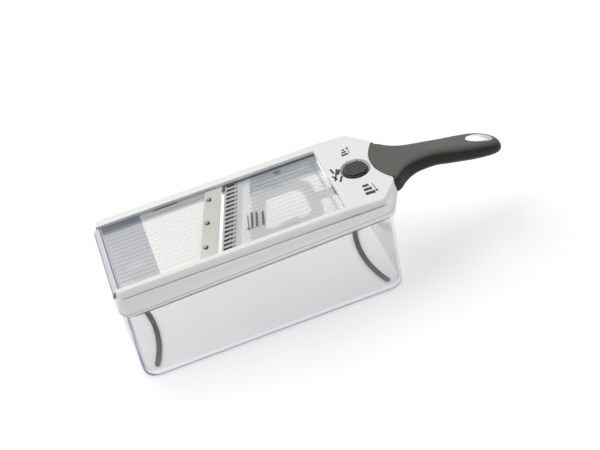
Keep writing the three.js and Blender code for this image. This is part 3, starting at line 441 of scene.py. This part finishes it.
finishes = {
    "white": makeWhite("whiteHousing"),
    "whitePlain": makeWhite("whiteParts", lined=False),
    "container": makeClearContainer(),
    "deck": makeDeckFinish(),
    "runway": makeRunwayFinish(),
    "blade": makeBladeFinish(),
    "rivet": makeRivetFinish(),
    "steel": makeSteel("plainSteel", (0.62, 0.63, 0.63), (0.45, 0.46, 0.46), 0.28),
    "foot": makeMatt("footRubber", (0.008, 0.010, 0.011), (0.018, 0.021, 0.023), 0.6),
    "knob": makeMatt("blackKnob", (0.006, 0.006, 0.007), (0.013, 0.013, 0.014), 0.42, 2600, 0.03),
    "ridge": makeMatt("knobRidge", (0.26, 0.26, 0.255), (0.10, 0.10, 0.10), 0.45),
    "knobScrew": makeMatt("blackenedScrew", (0.005, 0.005, 0.005), (0.009, 0.009, 0.009), 0.5),
    "ink": makeMatt("printedInk", (0.018, 0.02, 0.022), (0.04, 0.042, 0.045), 0.5),
    "greyInk": makeMatt("greyInk", (0.055, 0.06, 0.065), (0.09, 0.095, 0.10), 0.5),
    "ring": makeMatt("greyNylon", (0.24, 0.245, 0.245), (0.31, 0.315, 0.315), 0.5),
    "shaft": makeMatt("darkNylon", (0.03, 0.03, 0.032), (0.05, 0.05, 0.052), 0.5),
    "core": makeMatt("paleCore", (0.55, 0.55, 0.54), (0.62, 0.62, 0.61), 0.5),
    "grip": makeGripFinish(),
    "inlay": makeInlayFinish(),
    "carrier": makeCarrierFinish(),
}
print("finishes made:", len(finishes))


def addPiece(name, mesh, body, finish, replaced=()):
    piece = bpy.data.objects.new(name, mesh)
    scene.collection.objects.link(piece)
    mesh.materials.clear()
    mesh.materials.append(finishes[finish])
    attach(piece, body)
    if replaced:
        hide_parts(*replaced)
    return piece


def smooth(mesh, angle):
    for face in mesh.polygons:
        face.use_smooth = True
    mesh.set_sharp_from_angle(angle=math.radians(angle))


def meshFrom(shape, name):
    mesh = bpy.data.meshes.new(name)
    shape.to_mesh(mesh)
    shape.free()
    return mesh


# finishes that throw no shadow, so that the inside stays bright
shadeless = {"container", "deck", "runway", "white", "carrier", "ring", "blade"}


def refine(node, body, finish, bevel, angle=38, segments=2):
    shape = bmesh.new()
    shape.from_mesh(nodes[node].data)
    bmesh.ops.remove_doubles(shape, verts=shape.verts, dist=1e-6)
    bmesh.ops.dissolve_limit(shape, angle_limit=math.radians(0.6), verts=shape.verts, edges=shape.edges)
    mesh = meshFrom(shape, node + "_fine")
    if bevel:
        smooth(mesh, angle)
    piece = addPiece(node + "_fine", mesh, body, finish, (node,))
    piece.visible_shadow = finish not in shadeless
    if bevel:
        edge = piece.modifiers.new("softEdges", "BEVEL")
        edge.width = bevel * mm
        edge.segments = segments
        edge.limit_method = "ANGLE"
        edge.angle_limit = math.radians(angle)
        edge.harden_normals = False
        edge.use_clamp_overlap = True
        edge.miter_outer = "MITER_ARC"
    return piece


def fromRings(name, rings):
    shape = bmesh.new()
    rows = [[shape.verts.new(p) for p in ring] for ring in rings]
    count = len(rows[0])
    for first, second in zip(rows, rows[1:]):
        for i in range(count):
            j = (i + 1) % count
            shape.faces.new((first[i], first[j], second[j], second[i]))
    shape.faces.new(rows[0][::-1])
    shape.faces.new(rows[-1])
    bmesh.ops.recalc_face_normals(shape, faces=shape.faces)
    return meshFrom(shape, name)


def plateFrom(name, outlines, low, high):
    shape = bmesh.new()
    for outline in outlines:
        bottom = [shape.verts.new((x, y, low)) for x, y in outline]
        top = [shape.verts.new((x, y, high)) for x, y in outline]
        shape.faces.new(bottom[::-1])
        shape.faces.new(top)
        for i in range(len(outline)):
            j = (i + 1) % len(outline)
            shape.faces.new((bottom[i], bottom[j], top[j], top[i]))
    bmesh.ops.recalc_face_normals(shape, faces=shape.faces)
    return meshFrom(shape, name)


def rowTree(name, finish):
    tree = bpy.data.node_groups.new(name, "GeometryNodeTree")
    face = tree.interface
    face.new_socket("Geometry", in_out="OUTPUT", socket_type="NodeSocketGeometry")
    kinds = {"Count": "NodeSocketInt", "Start": "NodeSocketVector", "Step": "NodeSocketVector",
             "Size": "NodeSocketVector"}
    ids = {key: face.new_socket(key, in_out="INPUT", socket_type=kind).identifier
           for key, kind in kinds.items()}
    given = tree.nodes.new("NodeGroupInput")
    result = tree.nodes.new("NodeGroupOutput")
    line = tree.nodes.new("GeometryNodeMeshLine")
    line.mode = "OFFSET"
    block = tree.nodes.new("GeometryNodeMeshCube")
    spread = tree.nodes.new("GeometryNodeInstanceOnPoints")
    real = tree.nodes.new("GeometryNodeRealizeInstances")
    paint = tree.nodes.new("GeometryNodeSetMaterial")
    paint.inputs["Material"].default_value = finishes[finish]
    link = tree.links.new
    link(given.outputs["Count"], line.inputs["Count"])
    link(given.outputs["Start"], line.inputs["Start Location"])
    link(given.outputs["Step"], line.inputs["Offset"])
    link(given.outputs["Size"], block.inputs["Size"])
    link(line.outputs[0], spread.inputs["Points"])
    link(block.outputs[0], spread.inputs["Instance"])
    link(spread.outputs[0], real.inputs[0])
    link(real.outputs[0], paint.inputs[0])
    link(paint.outputs[0], result.inputs[0])
    return tree, ids


def makeRow(name, body, finish, values):
    tree, ids = rowTree(name + "Tree", finish)
    holder = bpy.data.objects.new(name + "Maker", bpy.data.meshes.new(name + "Seed"))
    scene.collection.objects.link(holder)
    maker = holder.modifiers.new("row", "NODES")
    maker.node_group = tree
    for key, value in values.items():
        maker[ids[key]] = value
    bpy.context.view_layer.update()
    ready = holder.evaluated_get(bpy.context.evaluated_depsgraph_get())
    mesh = bpy.data.meshes.new_from_object(ready)
    mesh.name = name
    holder.modifiers.remove(maker)
    bpy.data.objects.remove(holder)
    return addPiece(name, mesh, body, finish)


refine("container", "container", "container", 0.35, 40)
for side in ("left", "right"):
    refine("foot_strip_" + side, "container", "foot", 0.3, 40)
refine("main_frame", "slicer", "white", 0.35)
refine("landing_deck", "slicer", "deck", 0)
refine("runway", "feed_plate", "runway", 0)
refine("comb_carrier", "comb", "carrier", 0)
refine("blade", "slicer", "blade", 0)
refine("adjuster_yoke", "yoke", "ring", 0.4)
refine("knob", "dial", "knob", 0.3)
for number in (1, 2, 3):
    refine("blade_rivet_%d" % number, "slicer", "rivet", 0.08, segments=1)

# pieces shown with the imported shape
plainFinishes = {"julienne_comb": "steel", "runway_hinge_pin": "steel", "detent_spring": "steel",
                 "knob_screw": "knobScrew", "knob_shaft": "shaft", "mechanism_cover": "whitePlain",
                 "handle_core": "core"}
plainFinishes |= {"cover_screw_%d" % number: "steel" for number in (1, 2, 3, 4)}
plainFinishes |= {"handle_screw_%d" % number: "steel" for number in (1, 2)}
for node, finish in plainFinishes.items():
    nodes[node].visible_shadow = False
    slots = nodes[node].data.materials
    slots.clear()
    slots.append(finishes[finish])
print("packed pieces refined")


gripShape = {
    # distance from the front, drop of the axis, half width, half height, lean, squareness
    "stations": [(0, 3.6, 31, 9.4, 0.02, 5), (3, 3.6, 30.4, 9.35, 0.03, 4.9),
                 (6.5, 3.6, 28.4, 9.3, 0.05, 4.6), (11.5, 3.6, 23.8, 9.1, 0.07, 4.2),
                 (18, 3.6, 19.2, 8.9, 0.08, 3.8), (27, 3.9, 15.9, 8.6, 0.08, 3.2),
                 (45, 5.8, 13.5, 8.6, 0.08, 2.8), (60, 9.2, 13.9, 8.8, 0.06, 2.7),
                 (82, 13.8, 14.7, 8.8, 0.05, 2.6), (94, 16.6, 14, 8.4, 0.04, 2.5),
                 (103, 19.4, 11.9, 7.2, 0.03, 2.4), (108.5, 21.2, 8.9, 5.6, 0, 2.3),
                 (111.6, 22.4, 5, 3.4, 0, 2.2), (112.5, 22.8, 1.8, 1.4, 0, 2.2)],
    "rings": 96, "sides": 72, "crowding": 1.25,     # rings stand closer towards the rounded end
    "tongueReach": 9.9, "tongueWidth": 57.0, "tongueSteps": 48, "tongueCurve": 2.15,
    "tongueBelow": 1.5, "tongueAbove": 0.35}


def gripAt(distance):
    table = gripShape["stations"]
    i = max(1, next((k for k, row in enumerate(table) if row[0] >= distance), len(table) - 1))
    low, high = table[i - 1], table[i]
    before = table[i - 2] if i > 1 else low
    after = table[i + 1] if i + 1 < len(table) else high
    span = high[0] - low[0]
    t = (distance - low[0]) / span
    made = []
    for column in (1, 2, 3, 4, 5):
        slopeLow = (high[column] - before[column]) / max(high[0] - before[0], 1e-6) * span
        slopeHigh = (after[column] - low[column]) / max(after[0] - low[0], 1e-6) * span
        made.append((2 * t ** 3 - 3 * t ** 2 + 1) * low[column] + (t ** 3 - 2 * t ** 2 + t) * slopeLow
                    + (3 * t ** 2 - 2 * t ** 3) * high[column] + (t ** 3 - t ** 2) * slopeHigh)
    return made


def gripRing(distance):
    drop, halfWidth, halfHeight, lean, squareness = gripAt(distance)
    axis = valleyZ / mm - drop
    ring = []
    for i in range(gripShape["sides"]):
        angle = 2 * math.pi * i / gripShape["sides"]
        across, up = math.cos(angle), math.sin(angle)
        flat = math.copysign(abs(across) ** (2 / squareness), across)
        tall = math.copysign(abs(up) ** (2 / squareness), up)
        ring.append((gripX + distance * mm,
                     halfWidth * flat * (1 - lean * tall) * mm, (axis + halfHeight * tall) * mm))
    return ring


def makeGrip():
    shape = gripShape
    length, count = shape["stations"][-1][0], shape["rings"]
    places = [length * (1 - (1 - i / count) ** shape["crowding"]) for i in range(count + 1)]
    skin = fromRings("handle_grip_fine", [gripRing(d) for d in places])
    side = (shape["tongueWidth"] / 2 - 2) * mm
    tongue = [(gripX + 2 * mm, -side)]
    for i in range(shape["tongueSteps"] + 1):  # rounded lap on the control plate
        t = -1 + 2 * i / shape["tongueSteps"]
        reach = shape["tongueReach"] * (1 - abs(t) ** shape["tongueCurve"])
        tongue.append((gripX - reach * mm + 0.4 * mm, shape["tongueWidth"] / 2 * t * mm))
    tongue.append((gripX + 2 * mm, side))
    lap = plateFrom("grip_lap", [tongue], plateZ - shape["tongueBelow"] * mm,
                    plateZ + shape["tongueAbove"] * mm)
    both = bmesh.new()
    both.from_mesh(skin)
    both.from_mesh(lap)
    both.to_mesh(skin)
    both.free()
    bpy.data.meshes.remove(lap)
    smooth(skin, 50)
    addPiece("handle_grip_fine", skin, "slicer", "grip", ("handle_grip",))


makeGrip()


inlayShape = {"middle": 93, "length": 25.6, "width": 12, "crown": 0.4, "crownCurve": 8, "depth": 1.0,
              "rings": 12, "sides": 56, "centreShare": 0.02}


def gripTop(distance, y):  # height of the grip's upper side
    drop, halfWidth, halfHeight, lean, squareness = gripAt(distance)
    across = min(1, abs(y) / (halfWidth * (1 - lean))) ** (squareness / 2)
    return valleyZ / mm - drop + halfHeight * math.sqrt(1 - across ** 2) ** (2 / squareness)


def makeInlay():
    shape = inlayShape
    rings = []
    for i in range(shape["rings"] + 2):  # the last ring is the foot of the rim
        share = max(shape["centreShare"], min(1, i / shape["rings"]))
        crown = shape["crown"] * (1 - share ** shape["crownCurve"])
        if i > shape["rings"]:
            crown = -shape["depth"]
        ring = []
        for k in range(shape["sides"]):
            angle = 2 * math.pi * k / shape["sides"]
            distance = shape["middle"] + shape["length"] / 2 * share * math.cos(angle)
            y = shape["width"] / 2 * share * math.sin(angle)
            ring.append((gripX + distance * mm, y * mm, (gripTop(distance, y) + crown) * mm))
        rings.append(ring)
    mesh = fromRings("handle_inlay_fine", rings)
    smooth(mesh, 50)
    addPiece("handle_inlay_fine", mesh, "slicer", "inlay", ("handle_inlay",))


makeInlay()
print("grip made")


def bar(centre, length, width, turn=0.0):  # from the lip's end, in millimetres
    c, s = math.cos(math.radians(turn)), math.sin(math.radians(turn))
    corners = [(a * length / 2, b * width / 2) for a, b in ((-1, -1), (1, -1), (1, 1), (-1, 1))]
    return [(endX + (centre[0] + a * c - b * s) * mm, (centre[1] + a * s + b * c) * mm) for a, b in corners]


def arrow(tail, tip, width, head, spread=0.6):
    start, end = Vector(tail), Vector(tip)
    along = (end - start).normalized()
    across = Vector((-along.y, along.x))
    neck = end - along * head
    half, wing = across * width / 2, across * head * spread
    points = [start - half, neck - half, neck - wing, end, neck + wing, neck + half, start + half]
    return [(endX + p.x * mm, p.y * mm) for p in points]


printing = {
    "plateMarks": [
        bar((235.4, 24.2), 6.4, 2.7, 4), bar((235.8, 28.0), 4.6, 2.3, 4), bar((236.2, 31.4), 2.8, 2.0, 4),
        arrow((240.2, 23.4), (240.2, 34.4), 0.6, 2.8),
        bar((236.6, -26.8), 5.8, 3.3, -4), bar((236.9, -32.2), 7.4, 3.6, -4),
        bar((237.2, -38.0), 8.8, 4.0, -4), arrow((242.8, -26), (243.4, -39.4), 0.7, 3.0),
        bar((218.6, 0.6), 17.5, 1.5, 68), bar((217.2, 7.2), 7.6, 1.9, 96), bar((221.8, 3.4), 7.6, 2.6, 62),
        bar((216.4, -2.6), 7.2, 1.9, 112), bar((220.9, -7.0), 8.2, 2.2, 64)],
    "runwayMarks": [
        bar((134.4, -13.4), 21.2, 1.9, 76), bar((138.6, -14.2), 20, 1.9, 76),
        bar((144.0, -15.4), 18.6, 1.9, 76), arrow((132.6, -5.4), (128.2, -25.6), 0.9, 3.4),
        bar((173.2, 40.2), 6.2, 1.1, 8), bar((174.6, 37.8), 5.2, 1.0, 8)],
    # heights over the control plate and over the runway's face
    "plateLayer": (-0.02, 0.04), "runwayLayer": (0.36, 0.40)}


def makeMarks(name, outlines, base, layer, body, finish):
    low, high = (base + height * mm for height in layer)
    addPiece(name, plateFrom(name, outlines, low, high), body, finish)


makeMarks("plate_marks", printing["plateMarks"], plateZ, printing["plateLayer"], "slicer", "ink")
makeMarks("runway_marks", printing["runwayMarks"], runwayZ, printing["runwayLayer"], "feed_plate", "greyInk")

ridges = {"count": 8, "pitch": 2.35, "radius": 10.4, "width": 0.5, "below": 0.5, "above": 0.08,
          "offset": 0.1}


def makeRidges():  # painted highlights on the crowns of the ribs across the knob
    outlines = []
    middle = (knobX - endX) / mm
    for i in range(ridges["count"]):
        y = (i - (ridges["count"] - 1) / 2) * ridges["pitch"]
        reach = math.sqrt(ridges["radius"] ** 2 - y ** 2)
        outlines.append(bar((middle, y + ridges["offset"]), 2 * reach, ridges["width"]))
    makeMarks("knob_ridges", outlines, knobHigh.z, (-ridges["below"], ridges["above"]), "dial", "ridge")


makeRidges()
ladder = {"count": 17, "pitch": 4.8, "size": (5.6, 0.35, 0.2), "middle": 133, "nearest": -38.4, "sunk": 0.15}
ladderX = endX + (ladder["middle"] + slant * ladder["nearest"]) * mm
makeRow("ladder_rungs", "comb", "greyInk", {
    "Count": ladder["count"],
    "Start": (ladderX, ladder["nearest"] * mm, carrierHigh.z - ladder["sunk"] * mm),
    "Step": (slant * ladder["pitch"] * mm, ladder["pitch"] * mm, 0),
    "Size": [side * mm for side in ladder["size"]]})
print("pictograms and rows made")


floorLook = {"colour": (0.97, 0.97, 0.97), "light": (0.985, 0.985, 0.985), "half": 4.0, "height": -0.0004}


def makeFloor():
    f = Finish("paleFloor")
    colour = f.mix(f.noise(3, 2), floorLook["colour"], floorLook["light"])
    material = f.finishWith(colour=colour, rough=0.85 + 0.05 * f.noise(8, 2))
    mesh = bpy.data.meshes.new("floor")
    half, z = floorLook["half"], floorLook["height"]
    corners = [(-half, -half, z), (half, -half, z), (half, half, z), (-half, half, z)]
    mesh.from_pydata(corners, [], [(0, 1, 2, 3)])
    mesh.materials.append(material)
    floor = bpy.data.objects.new("floor", mesh)
    scene.collection.objects.link(floor)


lighting = {"horizon": 0.66, "sky": 0.60, "horizonEnd": 0.05, "skyStart": 0.75, "aim": (0, 0, 0.05),
            # place, size and power of each lamp
            "lamps": {"key": ((-0.5, 0.5, 1.3), 1.4, 14.5), "fill": ((0.2, -1.3, 0.9), 1.2, 3),
                      "rear": ((0.9, 0.8, 0.9), 0.8, 5)}}


def makeLight():
    world = bpy.data.worlds.new("studio")
    scene.world = world
    world.use_nodes = True
    tree = world.node_tree
    tree.nodes.clear()
    spot = tree.nodes.new("ShaderNodeTexCoord")
    parts = tree.nodes.new("ShaderNodeSeparateXYZ")
    ramp = tree.nodes.new("ShaderNodeMapRange")
    ramp.inputs["From Min"].default_value = lighting["horizonEnd"]
    ramp.inputs["From Max"].default_value = lighting["skyStart"]
    ramp.inputs["To Min"].default_value = lighting["horizon"]
    ramp.inputs["To Max"].default_value = lighting["sky"]
    back = tree.nodes.new("ShaderNodeBackground")
    out = tree.nodes.new("ShaderNodeOutputWorld")
    tree.links.new(spot.outputs["Generated"], parts.inputs[0])
    tree.links.new(parts.outputs[2], ramp.inputs["Value"])
    tree.links.new(ramp.outputs[0], back.inputs["Strength"])
    tree.links.new(back.outputs[0], out.inputs[0])
    for name, (where, size, power) in lighting["lamps"].items():
        lamp = bpy.data.lights.new(name, "AREA")
        lamp.size = size
        lamp.energy = power
        holder = bpy.data.objects.new(name, lamp)
        holder.location = where
        away = Vector(lighting["aim"]) - Vector(where)
        holder.rotation_euler = away.to_track_quat("-Z", "Y").to_euler()
        scene.collection.objects.link(holder)


cameraView = {"azimuth": -9.03, "elevation": 40.0, "roll": -13.96, "distance": 1.1234,
              "target": (endX + 0.1765, 0.0, 0.0598), "lens": 74.81}


def makeCamera():
    a, e, r = (math.radians(cameraView[key]) for key in ("azimuth", "elevation", "roll"))
    back = Vector((math.sin(a) * math.cos(e), -math.cos(a) * math.cos(e), math.sin(e)))
    level = Vector((math.cos(a), math.sin(a), 0))
    up = level.cross(-back)
    right = math.cos(r) * level + math.sin(r) * up
    top = -math.sin(r) * level + math.cos(r) * up
    data = bpy.data.cameras.new("camera")
    data.sensor_width = 36
    data.lens = cameraView["lens"]
    data.clip_start = 0.05
    camera = bpy.data.objects.new("camera", data)
    turn = Matrix((right, top, back)).transposed().to_4x4()
    where = Vector(cameraView["target"]) + back * cameraView["distance"]
    camera.matrix_world = Matrix.Translation(where) @ turn
    scene.collection.objects.link(camera)
    scene.camera = camera


makeFloor()
makeLight()
makeCamera()
scene.view_settings.view_transform = "Standard"
print("stage set")
